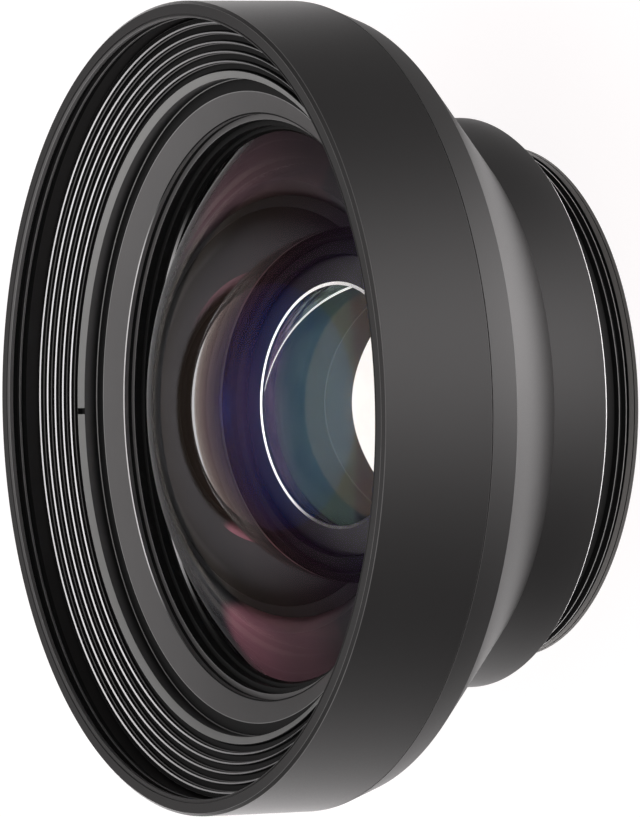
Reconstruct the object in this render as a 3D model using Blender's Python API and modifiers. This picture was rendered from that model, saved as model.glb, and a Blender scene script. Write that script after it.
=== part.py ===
"""Wide-angle conversion lens: a bell-shaped black metal body with two lens elements and a screw mount.

Every piece is turned about the optical axis, which is Z. The lens stands on its rear end with the
front glass up. A depth is a distance behind the plane of the front rim, and at() turns it into a
height above the rear end.
"""

from math import cos, pi, radians, sin, sqrt

import bmesh
import bpy

MM = 0.001

# Fits between neighbouring pieces
CLEARANCE = 0.3 * MM

# Widths that set each radius from the thread outwards
THREAD_RADIUS = 24.5 * MM
RELIEF_DEPTH = 0.6 * MM
SPIGOT_STEP = 0.7 * MM
BARREL_WALL = 3.75 * MM
ELEMENT_SEAT = 4.8 * MM
RETAINER_SEAT = 2.8 * MM
RIB_INNER_BORDER = 0.78 * MM
RIB_OUTER_BORDER = 0.42 * MM
HOOD_WALL = 1.25 * MM

# Outside of the body, from the front rim to the rear end
HOOD_LENGTH = 11.25 * MM
HOOD_CHAMFER = 0.3 * MM
BAND_LENGTH = 3.2 * MM
BAND_TAPER = 1.2 * MM
NECK_LENGTH = 9.7 * MM
BARREL_CHAMFER = 0.2 * MM
BARREL_MOUTH = 0.6 * MM
MOUNT_LENGTH = 5.0 * MM

# Inside of the hood: a lip, a groove behind it, a narrow ridge and a plain wall
LIP_FACE = 1.6 * MM
LIP_CHAMFER = 0.15 * MM
LIP_LENGTH = 0.55 * MM
GROOVE_DEPTH = 0.5 * MM
GROOVE_LENGTH = 0.7 * MM
RIDGE_HEIGHT = 0.3 * MM
RIDGE_LENGTH = 0.2 * MM
WALL_LENGTH = 1.75 * MM

# Baffle ring with light-trap ribs, which step inwards and down to a bevelled face
RIB_COUNT = 5
RIB_PITCH = 0.91 * MM
RIB_DROP = 0.37 * MM
RIB_LAND = 0.14 * MM
RIB_GROOVE_DEPTH = 0.55 * MM
FACE_BEVEL = 0.4 * MM
NOTCH_WIDTH = 0.6 * MM
NOTCH_LENGTH = 0.6 * MM
NOTCH_DEPTH = 1.2 * MM
BAFFLE_LENGTH = 4.2 * MM

# Front retaining ring: a flat rim, a cone and inner steps down to a lip over the glass
RETAINER_DROP = 1.81 * MM
RETAINER_RIM = 0.95 * MM
CONE_WIDTH = 2.12 * MM
CONE_DROP = 1.21 * MM
STEP_COUNT = 3
STEP_WIDTH = 0.55 * MM
STEP_HEIGHT = 0.8 * MM
RETAINER_LIP = 0.53 * MM

# Front element, a negative meniscus with a domed front and a deep hollow back
DOME_CURVE = 37.4 * MM
ELEMENT_CENTRE = 2.98 * MM
ELEMENT_EDGE = 2.5 * MM
HOLLOW_CURVE = 19.8 * MM

# Shim and spacer behind the front element
SHIM_WIDTH = 2.9 * MM
SHIM_THICKNESS = 0.4 * MM
SPACER_LENGTH = 3.5 * MM
SPACER_STEPS = 3
SPACER_STEP = 1.0 * MM

# Rear cell, rear element and the ring that holds it
CELL_LIP_WIDTH = 0.5 * MM
CELL_LIP_THICKNESS = 0.5 * MM
CELL_LENGTH = 7.0 * MM
REAR_ELEMENT_CURVE = 45.0 * MM
REAR_ELEMENT_CENTRE = 5.8 * MM
REAR_RING_SEAT = 1.9 * MM
REAR_RING_WIDTH = 2.5 * MM
REAR_RING_THICKNESS = 1.8 * MM
SLOT_WIDTH = 1.2 * MM
SLOT_DEPTH = 0.8 * MM

# Rear mount ring with the screw thread, left plain at its crest, and the plate in its rear
THREAD_CHAMFER = 0.4 * MM
RELIEF_LENGTH = 0.8 * MM
MOUNT_WALL = 3.0 * MM
FLANGE_THICKNESS = 1.5 * MM
FLANGE_WIDTH = 4.0 * MM
FLANGE_COVER = 1.37 * MM
PLATE_SEAT_DEPTH = 2.7 * MM
PLATE_SEAT_WIDTH = 0.8 * MM
PLATE_THICKNESS = 0.8 * MM
PLATE_BEVEL = 0.5 * MM
WINDOW_INSET = 8.9 * MM

# Screws that hold the mount ring to the rear cell
SCREW_COUNT = 3
SCREW_RADIUS = 0.55 * MM
SCREW_HEAD_RADIUS = 1.2 * MM
SCREW_HEAD_HEIGHT = 0.6 * MM
SCREW_REACH = 2.0 * MM
SCREW_INSET = 1.9 * MM
SCREW_WALL = 2.75 * MM
SCREW_DRIVE_WIDTH = 0.28 * MM
SCREW_DRIVE_LENGTH = 1.0 * MM
SCREW_DRIVE_DEPTH = 0.35 * MM

# Facets round each turned piece, and along each curved glass surface
OUTSIDE_STEPS = 64
GLASS_STEPS = 48
INSIDE_STEPS = 40
SCREW_STEPS = 12
DOME_FACETS = 9
HOLLOW_FACETS = 8
REAR_FACETS = 6
SHARP_ANGLE = radians(22)
MERGE_DISTANCE = 0.001 * MM

# Radii that follow from the widths above
RELIEF_RADIUS = THREAD_RADIUS - RELIEF_DEPTH
CELL_RADIUS = RELIEF_RADIUS - SPIGOT_STEP
CELL_BORE = CELL_RADIUS + CLEARANCE
BARREL_RADIUS = CELL_BORE + BARREL_WALL
MOUTH_RADIUS = THREAD_RADIUS + CLEARANCE
ELEMENT_RADIUS = CELL_RADIUS + ELEMENT_SEAT
ELEMENT_BORE = ELEMENT_RADIUS + CLEARANCE
RING_BORE = ELEMENT_BORE + RETAINER_SEAT
FACE_RADIUS = RING_BORE + RIB_INNER_BORDER
RIBS_RADIUS = FACE_RADIUS + RIB_COUNT * RIB_PITCH
BAFFLE_RADIUS = RIBS_RADIUS + RIB_OUTER_BORDER
HOOD_BORE = BAFFLE_RADIUS + CLEARANCE
HOOD_RADIUS = HOOD_BORE + HOOD_WALL
LIP_RADIUS = HOOD_RADIUS - LIP_FACE
BAND_REAR_RADIUS = HOOD_RADIUS - BAND_TAPER
RETAINER_RADIUS = RING_BORE - CLEARANCE
CONE_RADIUS = RETAINER_RADIUS - RETAINER_RIM
STEPS_RADIUS = CONE_RADIUS - CONE_WIDTH
RETAINER_LIP_RADIUS = STEPS_RADIUS - STEP_COUNT * STEP_WIDTH
MOUNT_BORE = THREAD_RADIUS - MOUNT_WALL
WINDOW_RADIUS = MOUNT_BORE - WINDOW_INSET
SCREW_CIRCLE = MOUNT_BORE - SCREW_INSET
SCREW_HOLE = SCREW_RADIUS + CLEARANCE
REAR_RING_BORE = SCREW_CIRCLE - SCREW_HOLE - SCREW_WALL
REAR_RING_RADIUS = REAR_RING_BORE - CLEARANCE
REAR_ELEMENT_RADIUS = REAR_RING_BORE - REAR_RING_SEAT
CELL_LIP_RADIUS = REAR_ELEMENT_RADIUS - CELL_LIP_WIDTH
SPACER_THROAT = CELL_LIP_RADIUS + SPACER_STEP


def sphere_sag(curve, radius):
    """Depth that a spherical surface falls back between its apex and a radius."""
    return curve - sqrt(curve**2 - radius**2)


# Depths that follow from the lengths above, from the front rim to the rear end
RIDGE_DEPTH = LIP_LENGTH + GROOVE_LENGTH
WALL_DEPTH = RIDGE_DEPTH + RIDGE_LENGTH
RIBS_DEPTH = WALL_DEPTH + WALL_LENGTH
FACE_DEPTH = RIBS_DEPTH + RIB_COUNT * RIB_DROP
RETAINER_DEPTH = FACE_DEPTH + RETAINER_DROP
STEPS_DEPTH = RETAINER_DEPTH + CONE_DROP
RETAINER_LIP_DEPTH = STEPS_DEPTH + STEP_COUNT * STEP_HEIGHT
CLEAR_APEX = RETAINER_LIP_DEPTH + RETAINER_LIP - sphere_sag(DOME_CURVE + CLEARANCE, RETAINER_LIP_RADIUS)
DOME_DEPTH = CLEAR_APEX + CLEARANCE
ELEMENT_BACK_DEPTH = DOME_DEPTH + sphere_sag(DOME_CURVE, ELEMENT_RADIUS) + ELEMENT_EDGE
HOLLOW_DEPTH = DOME_DEPTH + ELEMENT_CENTRE
HOLLOW_RADIUS = sqrt(HOLLOW_CURVE**2 - (HOLLOW_DEPTH + HOLLOW_CURVE - ELEMENT_BACK_DEPTH) ** 2)
RETAINER_BACK_DEPTH = CLEAR_APEX + sphere_sag(DOME_CURVE + CLEARANCE, ELEMENT_RADIUS)
STACK_DEPTH = ELEMENT_BACK_DEPTH + CLEARANCE
SEAT_DEPTH = STACK_DEPTH + SHIM_THICKNESS + CLEARANCE
CELL_DEPTH = STACK_DEPTH + SPACER_LENGTH + CLEARANCE
CELL_BACK_DEPTH = CELL_DEPTH + CELL_LENGTH
REAR_RIM_DEPTH = CELL_DEPTH + CELL_LIP_THICKNESS + CLEARANCE
REAR_APEX_DEPTH = REAR_RIM_DEPTH - sphere_sag(REAR_ELEMENT_CURVE, CELL_LIP_RADIUS)
REAR_BACK_DEPTH = REAR_APEX_DEPTH + REAR_ELEMENT_CENTRE
REAR_RING_DEPTH = REAR_BACK_DEPTH + CLEARANCE
FLANGE_DEPTH = CELL_BACK_DEPTH + CLEARANCE
FLANGE_BACK_DEPTH = FLANGE_DEPTH + FLANGE_THICKNESS
SPIGOT_DEPTH = FACE_DEPTH + BAFFLE_LENGTH
BAND_DEPTH = HOOD_LENGTH + CLEARANCE
NECK_DEPTH = BAND_DEPTH + BAND_LENGTH
BARREL_DEPTH = NECK_DEPTH + NECK_LENGTH
SHOULDER_DEPTH = FLANGE_BACK_DEPTH + FLANGE_COVER
TOTAL_LENGTH = SHOULDER_DEPTH + MOUNT_LENGTH
PLATE_SEAT = TOTAL_LENGTH - PLATE_SEAT_DEPTH
PLATE_DEPTH = PLATE_SEAT + CLEARANCE


def at(depth):
    """Height above the rear end of a depth behind the front rim."""
    return TOTAL_LENGTH - depth


def new_collection(name):
    """A collection in the scene."""
    collection = bpy.data.collections.new(name)
    bpy.context.scene.collection.children.link(collection)
    return collection


def new_material(name, colour, roughness, metallic=0.0, transmission=0.0, refraction=1.5):
    """A plain Principled material."""
    material = bpy.data.materials.new(name)
    material.use_nodes = True
    shader = material.node_tree.nodes["Principled BSDF"]
    shader.inputs["Base Color"].default_value = (*colour, 1.0)
    shader.inputs["Roughness"].default_value = roughness
    shader.inputs["Metallic"].default_value = metallic
    shader.inputs["Transmission Weight"].default_value = transmission
    shader.inputs["IOR"].default_value = refraction
    material.diffuse_color = (*colour, 1.0)
    return material


def arc(apex, curve, inner, outer, count):
    """Points of a spherical surface from one radius to another, as radius and depth."""
    radii = [inner + (outer - inner) * sin(pi / 2 * i / count) for i in range(count + 1)]
    return [(radius, apex + sphere_sag(curve, radius)) for radius in radii]


def turned(name, profile, steps, material, collection, closed=True):
    """A profile of radius and depth spun round the axis. It runs down its outer side."""
    mesh = bpy.data.meshes.new(name + "_profile")
    shape = bmesh.new()
    points = [shape.verts.new((radius, 0.0, at(depth))) for radius, depth in profile]
    for first, second in zip(points, points[1:]):
        shape.edges.new((first, second))
    if closed:
        shape.edges.new((points[-1], points[0]))
    shape.to_mesh(mesh)
    shape.free()
    guide = bpy.data.objects.new(name + "_profile", mesh)
    collection.objects.link(guide)
    screw = guide.modifiers.new("Turn", "SCREW")
    screw.axis = "Z"
    screw.angle = 2 * pi
    screw.steps = steps
    screw.render_steps = steps
    screw.use_merge_vertices = True
    screw.merge_threshold = MERGE_DISTANCE
    evaluated = guide.evaluated_get(bpy.context.evaluated_depsgraph_get())
    solid = bpy.data.meshes.new_from_object(evaluated)
    bpy.data.objects.remove(guide)
    bpy.data.meshes.remove(mesh)
    solid.name = name
    solid.shade_smooth()
    solid.set_sharp_from_angle(angle=SHARP_ANGLE)
    solid.materials.append(material)
    piece = bpy.data.objects.new(name, solid)
    collection.objects.link(piece)
    return piece


def cutter_box(name, size, place, turn, collection):
    """A box with its centre at a radius and a height, turned about the axis of the lens."""
    bpy.ops.mesh.primitive_cube_add(size=1.0)
    box = bpy.context.active_object
    box.name = name
    box.dimensions = size
    box.location = (place[0] * cos(turn), place[0] * sin(turn), place[1])
    box.rotation_euler = (0.0, 0.0, turn)
    return as_cutter(box, collection)


def cutter_rod(name, radius, depths, distance, turn, collection):
    """A rod along Z between two depths, at a distance from the axis of the lens."""
    start, end = depths
    bpy.ops.mesh.primitive_cylinder_add(vertices=SCREW_STEPS, radius=radius, depth=end - start)
    rod = bpy.context.active_object
    rod.name = name
    rod.location = (distance * cos(turn), distance * sin(turn), at((start + end) / 2))
    return as_cutter(rod, collection)


def as_cutter(piece, collection):
    """Moves a piece to the cutters' collection, where it isn't rendered."""
    for owner in list(piece.users_collection):
        owner.objects.unlink(piece)
    collection.objects.link(piece)
    piece.hide_render = True
    piece.display_type = "WIRE"
    return piece


def cut(piece, cutter):
    """Takes a cutter away from a piece with a live Boolean."""
    boolean = piece.modifiers.new(cutter.name, "BOOLEAN")
    boolean.operation = "DIFFERENCE"
    boolean.object = cutter


def make_hood_ring(parts, material):
    """The front of the bell, with its lip and groove inside. It screws onto the body's spigot."""
    groove = LIP_RADIUS + GROOVE_DEPTH
    ridge = HOOD_BORE - RIDGE_HEIGHT
    profile = [
        (LIP_RADIUS + LIP_CHAMFER, 0.0),
        (HOOD_RADIUS - HOOD_CHAMFER, 0.0),
        (HOOD_RADIUS, HOOD_CHAMFER),
        (HOOD_RADIUS, HOOD_LENGTH),
        (HOOD_BORE, HOOD_LENGTH),
        (HOOD_BORE, WALL_DEPTH + RIDGE_HEIGHT),
        (ridge, WALL_DEPTH),
        (ridge, RIDGE_DEPTH),
        (groove, RIDGE_DEPTH),
        (groove, LIP_LENGTH),
        (LIP_RADIUS, LIP_LENGTH),
        (LIP_RADIUS, LIP_CHAMFER),
    ]
    return turned("hood_ring", profile, OUTSIDE_STEPS, material, parts)


def make_lens_barrel(parts, material):
    """The main body: band behind the seam, conical neck and barrel, bored in steps for the glass."""
    retainer_seat = RETAINER_BACK_DEPTH + CLEARANCE
    profile = [
        (RING_BORE, SPIGOT_DEPTH),
        (BAFFLE_RADIUS, SPIGOT_DEPTH),
        (BAFFLE_RADIUS, BAND_DEPTH),
        (HOOD_RADIUS, BAND_DEPTH),
        (BAND_REAR_RADIUS, NECK_DEPTH),
        (BARREL_RADIUS, BARREL_DEPTH),
        (BARREL_RADIUS, SHOULDER_DEPTH - BARREL_CHAMFER),
        (BARREL_RADIUS - BARREL_CHAMFER, SHOULDER_DEPTH),
        (MOUTH_RADIUS, SHOULDER_DEPTH),
        (MOUTH_RADIUS, SHOULDER_DEPTH - BARREL_MOUTH),
        (CELL_BORE, SHOULDER_DEPTH - BARREL_MOUTH),
        (CELL_BORE, SEAT_DEPTH),
        (ELEMENT_BORE, SEAT_DEPTH),
        (ELEMENT_BORE, retainer_seat),
        (RING_BORE, retainer_seat),
    ]
    return turned("lens_barrel", profile, OUTSIDE_STEPS, material, parts)


def rib_profile():
    """Ribs from the outside in, each a narrow flat crest with a V-shaped groove beside it."""
    points = []
    for number in range(RIB_COUNT):
        crest = RIBS_RADIUS - number * RIB_PITCH
        depth = RIBS_DEPTH + number * RIB_DROP
        points.append((crest, depth))
        points.append((crest - RIB_LAND, depth))
        points.append((crest - RIB_PITCH / 2, depth + RIB_GROOVE_DEPTH))
    points.append((FACE_RADIUS, FACE_DEPTH))
    points.append((FACE_RADIUS - RIB_LAND, FACE_DEPTH))
    points.append((RING_BORE, FACE_DEPTH + FACE_BEVEL))
    return points


def make_baffle_ring(parts, cutters, material):
    """The ribbed light trap between hood and glass, with two notches for a pin spanner."""
    foot = SPIGOT_DEPTH - CLEARANCE
    profile = [(BAFFLE_RADIUS, RIBS_DEPTH), (BAFFLE_RADIUS, foot), (RING_BORE, foot)]
    profile += list(reversed(rib_profile()))
    ring = turned("baffle_ring", profile, OUTSIDE_STEPS, material, parts)
    size = (2 * NOTCH_LENGTH, NOTCH_WIDTH, 2 * NOTCH_DEPTH)
    for number, turn in enumerate((0.0, pi), 1):
        cut(ring, cutter_box(f"spanner_notch_{number}", size, (RING_BORE, at(FACE_DEPTH)), turn, cutters))
    return ring


def make_front_retaining_ring(parts, material):
    """The ring that holds the front glass: a cone down to steps and a lip just clear of the dome."""
    steps = []
    for number in range(STEP_COUNT):
        radius = STEPS_RADIUS - number * STEP_WIDTH
        steps.append((radius, STEPS_DEPTH + number * STEP_HEIGHT))
        steps.append((radius, STEPS_DEPTH + (number + 1) * STEP_HEIGHT))
    steps.append((RETAINER_LIP_RADIUS, RETAINER_LIP_DEPTH))
    profile = [
        (CONE_RADIUS, RETAINER_DEPTH),
        (RETAINER_RADIUS, RETAINER_DEPTH),
        (RETAINER_RADIUS, RETAINER_BACK_DEPTH),
        (ELEMENT_RADIUS, RETAINER_BACK_DEPTH),
        (RETAINER_LIP_RADIUS, RETAINER_LIP_DEPTH + RETAINER_LIP),
    ]
    profile += list(reversed(steps))
    return turned("front_retaining_ring", profile, OUTSIDE_STEPS, material, parts)


def make_front_element(parts, material):
    """The large domed glass with its hollow back."""
    dome = arc(DOME_DEPTH, DOME_CURVE, 0.0, ELEMENT_RADIUS, DOME_FACETS)
    hollow = arc(HOLLOW_DEPTH, HOLLOW_CURVE, 0.0, HOLLOW_RADIUS, HOLLOW_FACETS)
    profile = dome + [(ELEMENT_RADIUS, ELEMENT_BACK_DEPTH)] + list(reversed(hollow))
    return turned("front_element", profile, GLASS_STEPS, material, parts, closed=False)


def make_front_shim(parts, material):
    """The thin ring that sets the front glass at its height in the body."""
    inside = ELEMENT_RADIUS - SHIM_WIDTH
    foot = STACK_DEPTH + SHIM_THICKNESS
    profile = [(inside, STACK_DEPTH), (ELEMENT_RADIUS, STACK_DEPTH), (ELEMENT_RADIUS, foot), (inside, foot)]
    return turned("front_shim", profile, INSIDE_STEPS, material, parts)


def make_spacer_ring(parts, material):
    """The stepped black funnel that sets the distance between the two elements."""
    mouth = HOLLOW_RADIUS + SPACER_STEP
    width = (mouth - SPACER_THROAT) / SPACER_STEPS
    height = SPACER_LENGTH / SPACER_STEPS
    steps = []
    for number in range(SPACER_STEPS):
        radius = mouth - number * width
        steps.append((radius, STACK_DEPTH + number * height))
        steps.append((radius, STACK_DEPTH + (number + 1) * height))
    profile = [(CELL_RADIUS, STACK_DEPTH), (CELL_RADIUS, STACK_DEPTH + SPACER_LENGTH)]
    profile += list(reversed(steps))
    return turned("spacer_ring", profile, INSIDE_STEPS, material, parts)


def screw_turns():
    """Angles of the mount screws round the axis."""
    return [2 * pi * number / SCREW_COUNT + pi / 2 for number in range(SCREW_COUNT)]


def drill(piece, name, start, end, collection):
    """Clearance holes for the mount screws through a piece, between two depths."""
    for number, turn in enumerate(screw_turns(), 1):
        rod = cutter_rod(f"{name}_{number}", SCREW_HOLE, (start, end), SCREW_CIRCLE, turn, collection)
        cut(piece, rod)


def make_rear_cell(parts, cutters, material):
    """The cup that holds the rear element, open to the rear, with holes for the mount screws."""
    element_bore = REAR_ELEMENT_RADIUS + CLEARANCE
    lip_back = CELL_DEPTH + CELL_LIP_THICKNESS
    profile = [
        (CELL_LIP_RADIUS, CELL_DEPTH),
        (CELL_RADIUS, CELL_DEPTH),
        (CELL_RADIUS, CELL_BACK_DEPTH),
        (REAR_RING_BORE, CELL_BACK_DEPTH),
        (REAR_RING_BORE, REAR_BACK_DEPTH),
        (element_bore, REAR_BACK_DEPTH),
        (element_bore, lip_back),
        (CELL_LIP_RADIUS, lip_back),
    ]
    cell = turned("rear_cell", profile, INSIDE_STEPS, material, parts)
    drill(cell, "cell_hole", CELL_BACK_DEPTH - SCREW_REACH - CLEARANCE, FLANGE_DEPTH, cutters)
    return cell


def make_rear_element(parts, material):
    """The smaller glass at the rear, domed in front and flat behind."""
    front = arc(REAR_APEX_DEPTH, REAR_ELEMENT_CURVE, 0.0, REAR_ELEMENT_RADIUS, REAR_FACETS)
    profile = front + [(REAR_ELEMENT_RADIUS, REAR_BACK_DEPTH), (0.0, REAR_BACK_DEPTH)]
    return turned("rear_element", profile, GLASS_STEPS, material, parts, closed=False)


def make_rear_retaining_ring(parts, cutters, material):
    """The ring that holds the rear element in its cell, with two slots for a spanner."""
    inside = REAR_RING_RADIUS - REAR_RING_WIDTH
    foot = REAR_RING_DEPTH + REAR_RING_THICKNESS
    profile = [
        (inside, REAR_RING_DEPTH),
        (REAR_RING_RADIUS, REAR_RING_DEPTH),
        (REAR_RING_RADIUS, foot),
        (inside, foot),
    ]
    ring = turned("rear_retaining_ring", profile, INSIDE_STEPS, material, parts)
    size = (2 * REAR_RING_WIDTH, SLOT_WIDTH, 2 * SLOT_DEPTH)
    for number, turn in enumerate((0.0, pi), 1):
        place = (REAR_RING_RADIUS - REAR_RING_WIDTH / 2, at(foot))
        cut(ring, cutter_box(f"ring_slot_{number}", size, place, turn, cutters))
    return ring


def make_mount_ring(parts, cutters, material):
    """The rear ring: a spigot inside the barrel, the thread outside, a flange and a plate seat."""
    thread_start = SHOULDER_DEPTH + CLEARANCE
    land_start = thread_start + RELIEF_LENGTH
    flange_inside = MOUNT_BORE - FLANGE_WIDTH
    seat = MOUNT_BORE + PLATE_SEAT_WIDTH
    profile = [
        (flange_inside, FLANGE_DEPTH),
        (CELL_RADIUS, FLANGE_DEPTH),
        (CELL_RADIUS, thread_start),
        (RELIEF_RADIUS, thread_start),
        (RELIEF_RADIUS, land_start),
        (THREAD_RADIUS, land_start + THREAD_CHAMFER),
        (THREAD_RADIUS, TOTAL_LENGTH - THREAD_CHAMFER),
        (THREAD_RADIUS - THREAD_CHAMFER, TOTAL_LENGTH),
        (seat, TOTAL_LENGTH),
        (seat, PLATE_SEAT),
        (MOUNT_BORE, PLATE_SEAT),
        (MOUNT_BORE, FLANGE_BACK_DEPTH),
        (flange_inside, FLANGE_BACK_DEPTH),
    ]
    ring = turned("mount_ring", profile, INSIDE_STEPS, material, parts)
    drill(ring, "flange_hole", CELL_BACK_DEPTH, FLANGE_BACK_DEPTH + CLEARANCE, cutters)
    return ring


def make_rear_plate(parts, material):
    """The black plate round the rear window, which covers the screws."""
    outside = MOUNT_BORE + PLATE_SEAT_WIDTH - CLEARANCE
    foot = PLATE_DEPTH + PLATE_THICKNESS
    profile = [
        (WINDOW_RADIUS + PLATE_BEVEL, PLATE_DEPTH),
        (outside, PLATE_DEPTH),
        (outside, foot),
        (WINDOW_RADIUS, foot),
    ]
    return turned("rear_plate", profile, INSIDE_STEPS, material, parts)


def make_mount_screws(parts, cutters, material):
    """Small screws through the flange of the mount ring into the rear cell."""
    head = FLANGE_BACK_DEPTH + CLEARANCE
    head_end = head + SCREW_HEAD_HEIGHT
    tip = CELL_BACK_DEPTH - SCREW_REACH
    profile = [
        (0.0, tip),
        (SCREW_RADIUS, tip),
        (SCREW_RADIUS, head),
        (SCREW_HEAD_RADIUS, head),
        (SCREW_HEAD_RADIUS, head_end),
        (0.0, head_end),
    ]
    size = (SCREW_DRIVE_LENGTH, SCREW_DRIVE_WIDTH, 2 * SCREW_DRIVE_DEPTH)
    for number, turn in enumerate(screw_turns(), 1):
        screw = turned(f"mount_screw_{number}", profile, SCREW_STEPS, material, parts, closed=False)
        screw.location = (SCREW_CIRCLE * cos(turn), SCREW_CIRCLE * sin(turn), 0.0)
        cut(screw, cutter_box(f"screw_drive_{number}", size, (SCREW_CIRCLE, at(head_end)), turn, cutters))


def build():
    """Makes every material and piece in an emptied scene."""
    for leftover in list(bpy.data.objects):
        bpy.data.objects.remove(leftover)
    parts = new_collection("wide_conversion_lens")
    cutters = new_collection("cutters")
    anodised = new_material("black_anodised_aluminium", (0.055, 0.053, 0.052), 0.42, 0.6)
    matt_black = new_material("matt_black_paint", (0.012, 0.012, 0.012), 0.75)
    glass = new_material("coated_glass", (0.93, 0.95, 0.96), 0.0, 0.0, 1.0, 1.62)
    brass = new_material("brass_shim", (0.55, 0.40, 0.16), 0.35, 1.0)
    steel = new_material("blackened_screw_steel", (0.10, 0.10, 0.11), 0.35, 0.9)
    make_hood_ring(parts, anodised)
    make_lens_barrel(parts, anodised)
    make_baffle_ring(parts, cutters, anodised)
    make_front_retaining_ring(parts, anodised)
    make_front_element(parts, glass)
    make_front_shim(parts, brass)
    make_spacer_ring(parts, matt_black)
    make_rear_cell(parts, cutters, matt_black)
    make_rear_element(parts, glass)
    make_rear_retaining_ring(parts, cutters, matt_black)
    make_mount_ring(parts, cutters, anodised)
    make_rear_plate(parts, matt_black)
    make_mount_screws(parts, cutters, steel)


build()
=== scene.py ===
# %% [markdown]
# # Wide-angle conversion lens
# A short bell of black anodised metal with a domed front glass, a smaller glass deep inside and a
# screw thread at the rear. Almost every piece is turned on a lathe, so most of them are made here
# the same way: a cross-section is drawn as a flat face, its corners are rounded, and the outline is
# spun round the optical axis. The lens stands on its rear end with the front glass up.

from math import atan2, cos, degrees, pi, radians, sin, sqrt

import bmesh
import bpy
from mathutils import Matrix, Vector


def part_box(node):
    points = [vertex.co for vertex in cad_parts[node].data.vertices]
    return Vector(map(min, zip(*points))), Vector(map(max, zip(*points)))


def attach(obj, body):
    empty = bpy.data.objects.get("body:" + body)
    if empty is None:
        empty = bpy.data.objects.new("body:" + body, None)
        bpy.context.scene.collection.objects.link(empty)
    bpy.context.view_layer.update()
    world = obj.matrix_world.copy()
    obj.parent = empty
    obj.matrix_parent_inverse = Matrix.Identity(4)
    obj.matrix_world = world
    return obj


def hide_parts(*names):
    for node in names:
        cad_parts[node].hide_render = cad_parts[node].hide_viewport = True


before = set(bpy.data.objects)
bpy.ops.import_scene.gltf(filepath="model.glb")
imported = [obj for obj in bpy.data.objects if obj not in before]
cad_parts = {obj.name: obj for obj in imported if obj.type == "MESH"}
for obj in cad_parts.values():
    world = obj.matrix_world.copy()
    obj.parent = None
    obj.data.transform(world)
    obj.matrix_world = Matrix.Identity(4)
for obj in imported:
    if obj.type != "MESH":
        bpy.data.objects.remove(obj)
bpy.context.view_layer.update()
MM = 0.001
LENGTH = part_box("hood_ring")[1].z / MM
print(f"the model is {LENGTH:.2f} mm long and has {len(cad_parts)} nodes")

# %% [markdown]
# ## Turning a piece
# A piece is drawn as corners of radius and depth, in millimetres behind the front rim, each with
# the size of its rounding. Rounding the corners before the spin costs nothing and gives every edge
# the thin highlight that a real turned edge has. The strips made by the rounding are remembered in
# an attribute, so that a finish can make them a little brighter, as worn edges are.

# %% Helpers for turned pieces
ROUND_STEPS = 288
FLAT_ANGLE = radians(10)


def at(depth):
    """Height above the rear end of a depth behind the front rim, in metres."""
    return (LENGTH - depth) * MM


def section(corners, segments=2):
    """The flat cross-section of a turned piece, with its corners rounded."""
    shape = bmesh.new()
    edge = shape.verts.layers.float.new("edge")
    outline = [(radius * MM, 0.0, at(depth)) for radius, depth, _ in corners]
    shape.faces.new([shape.verts.new(place) for place in outline])
    sizes = {}
    for radius, depth, size in corners:
        if size:
            sizes.setdefault(size, []).append(Vector((radius * MM, 0.0, at(depth))))
    for size, places in sizes.items():
        chosen = [v for v in shape.verts if min((v.co - place).length for place in places) < 1e-7]
        made = bmesh.ops.bevel(
            shape,
            geom=chosen,
            offset=size * MM,
            offset_type="OFFSET",
            segments=segments,
            profile=0.5,
            affect="VERTICES",
            clamp_overlap=True,
            material=-1,
        )
        for place in places:
            min(made["verts"], key=lambda v: (v.co - place).length)[edge] = 1.0
    return shape


def spun(shape, steps=ROUND_STEPS):
    """Spins the outline of a cross-section once round the axis and closes it."""
    bmesh.ops.delete(shape, geom=list(shape.faces), context="FACES_ONLY")
    on_axis = [e for e in shape.edges if all(abs(v.co.x) < 1e-7 for v in e.verts)]
    bmesh.ops.delete(shape, geom=on_axis, context="EDGES")
    outline = list(shape.verts) + list(shape.edges)
    bmesh.ops.spin(
        shape,
        geom=outline,
        cent=(0, 0, 0),
        axis=(0, 0, 1),
        angle=2 * pi,
        steps=steps,
        use_merge=True,
        use_normal_flip=False,
        use_duplicate=False,
    )
    bmesh.ops.remove_doubles(shape, verts=shape.verts, dist=1e-7)
    bmesh.ops.recalc_face_normals(shape, faces=shape.faces)
    return shape


def paint(shape, number, chosen):
    """Gives a material number to the faces that a test of radius, depth and slope picks."""
    shape.normal_update()
    for face in shape.faces:
        centre = face.calc_center_median()
        radius = Vector((centre.x, centre.y)).length
        inward = -(face.normal.x * centre.x + face.normal.y * centre.y) / max(radius, 1e-9)
        if chosen(radius / MM, LENGTH - centre.z / MM, inward, face.normal.z):
            face.material_index = number


def as_piece(shape, name, materials, slot, *nodes):
    """Makes a finished piece from a shape: it rides on the body and replaces nodes."""
    mesh = bpy.data.meshes.new(name)
    shape.to_mesh(mesh)
    shape.free()
    mesh.shade_smooth()
    mesh.set_sharp_from_angle(angle=FLAT_ANGLE)
    for material in materials:
        mesh.materials.append(material)
    piece = bpy.data.objects.new(name, mesh)
    bpy.context.scene.collection.objects.link(piece)
    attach(piece, "root")
    if nodes:
        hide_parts(*nodes)
    mesh.calc_loop_triangles()
    print(f"{name}: {len(mesh.loop_triangles)} triangles")
    return piece


# %% [markdown]
# ## Shared surface effects
# Turned metal carries fine rings left by the cutting tool, and blasting before anodising adds a
# fine grain. Both are wanted by several finishes at different strengths, so each is a node group.
# They read object coordinates in metres, which keeps their size true on every piece.

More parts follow.
